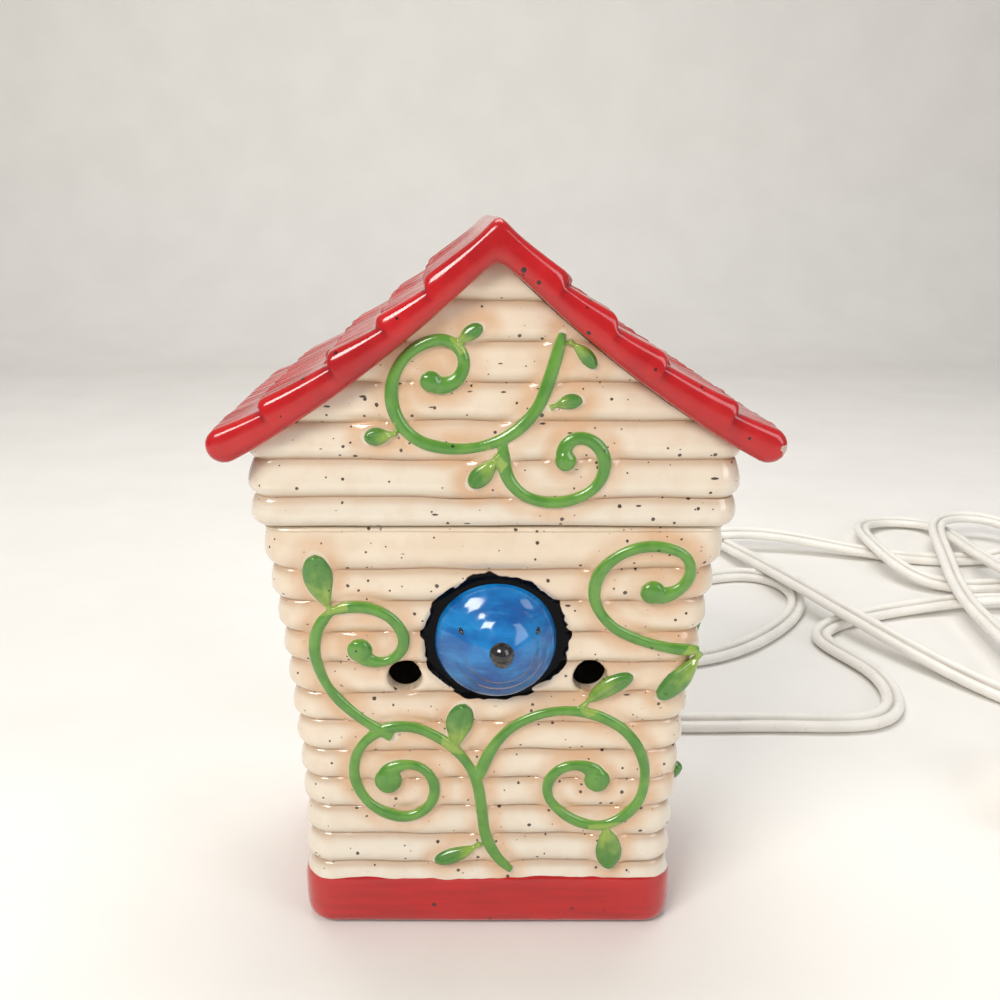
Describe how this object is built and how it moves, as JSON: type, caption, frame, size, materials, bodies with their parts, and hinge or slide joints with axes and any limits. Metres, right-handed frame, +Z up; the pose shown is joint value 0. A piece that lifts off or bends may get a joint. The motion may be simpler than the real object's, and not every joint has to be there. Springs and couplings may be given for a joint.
{
  "type": "ceramic birdhouse lamp",
  "caption": "Glazed ceramic birdhouse lamp: clapboard body with a bird's head and raised vines, lift-off shingled roof, wax dish, bulb inside, flat cord with switch and plug.",
  "frame": {"origin": "centre of the house's footprint, on the table under its rubber feet", "axes": "+Z up; -Y is the front with the bird's head; +Y is the rear, where the cord leaves; X is across the front"},
  "size_m": [0.3917, 0.3283, 0.16],
  "materials": {
    "glaze_cream": "gloss",
    "glaze_red": "gloss",
    "glaze_green": "gloss",
    "glaze_blue": "gloss",
    "glaze_dish": "gloss",
    "porcelain": "satin",
    "bulb_glass": "polished",
    "brass": "satin",
    "steel": "satin",
    "rubber_black": "matte",
    "wire_cover": "satin",
    "cord_white": "satin"
  },
  "bodies": {
    "house": {"house_body": "glaze_cream", "front_vines": "glaze_green", "side_vines": "glaze_green", "bird_head": "glaze_blue", "lamp_socket": "porcelain", "socket_shell": "brass", "socket_contact": "brass", "socket_screw": "steel", "socket_bracket": "steel", "bracket_rivets": "steel", "base_plate": "steel", "base_screws": "steel", "rubber_feet": "rubber_black", "lead_wires": "wire_cover", "strain_relief": "cord_white", "cord_lamp_side": "cord_white", "cord_plug_side": "cord_white", "switch_bottom": "cord_white", "switch_top": "cord_white", "switch_axle": "steel", "switch_contacts": "brass", "switch_screws": "steel", "plug_body": "cord_white", "plug_blades": "brass"},
    "lid": {"lid_walls": "glaze_cream", "roof": "glaze_red", "gable_vines": "glaze_green"},
    "dish": {"wax_dish": "glaze_dish"},
    "bulb": {"bulb_glass": "bulb_glass", "bulb_cap": "brass", "bulb_filament": "steel"},
    "wheel": {"switch_wheel": "cord_white"}
  },
  "joints": [
    {"name": "lid_lift", "type": "slide", "parent": "house", "child": "lid", "axis": [0, 0, 1], "range_m": [0, 0.12]},
    {"name": "dish_lift", "type": "slide", "parent": "house", "child": "dish", "axis": [0, 0, 1], "range_m": [0, 0.06]},
    {"name": "bulb_turn", "type": "hinge", "parent": "house", "child": "bulb", "pos_m": [0, 0, 0.026], "axis": [0, 0, 1], "continuous": true},
    {"name": "switch_roll", "type": "hinge", "parent": "house", "child": "wheel", "pos_m": [0.27, 0.164, 0.0092], "axis": [0, 1, 0], "continuous": true}
  ],
  "couplings": [
    {"joint": "dish_lift", "follows": "lid_lift", "ratio": 0.5}
  ]
}
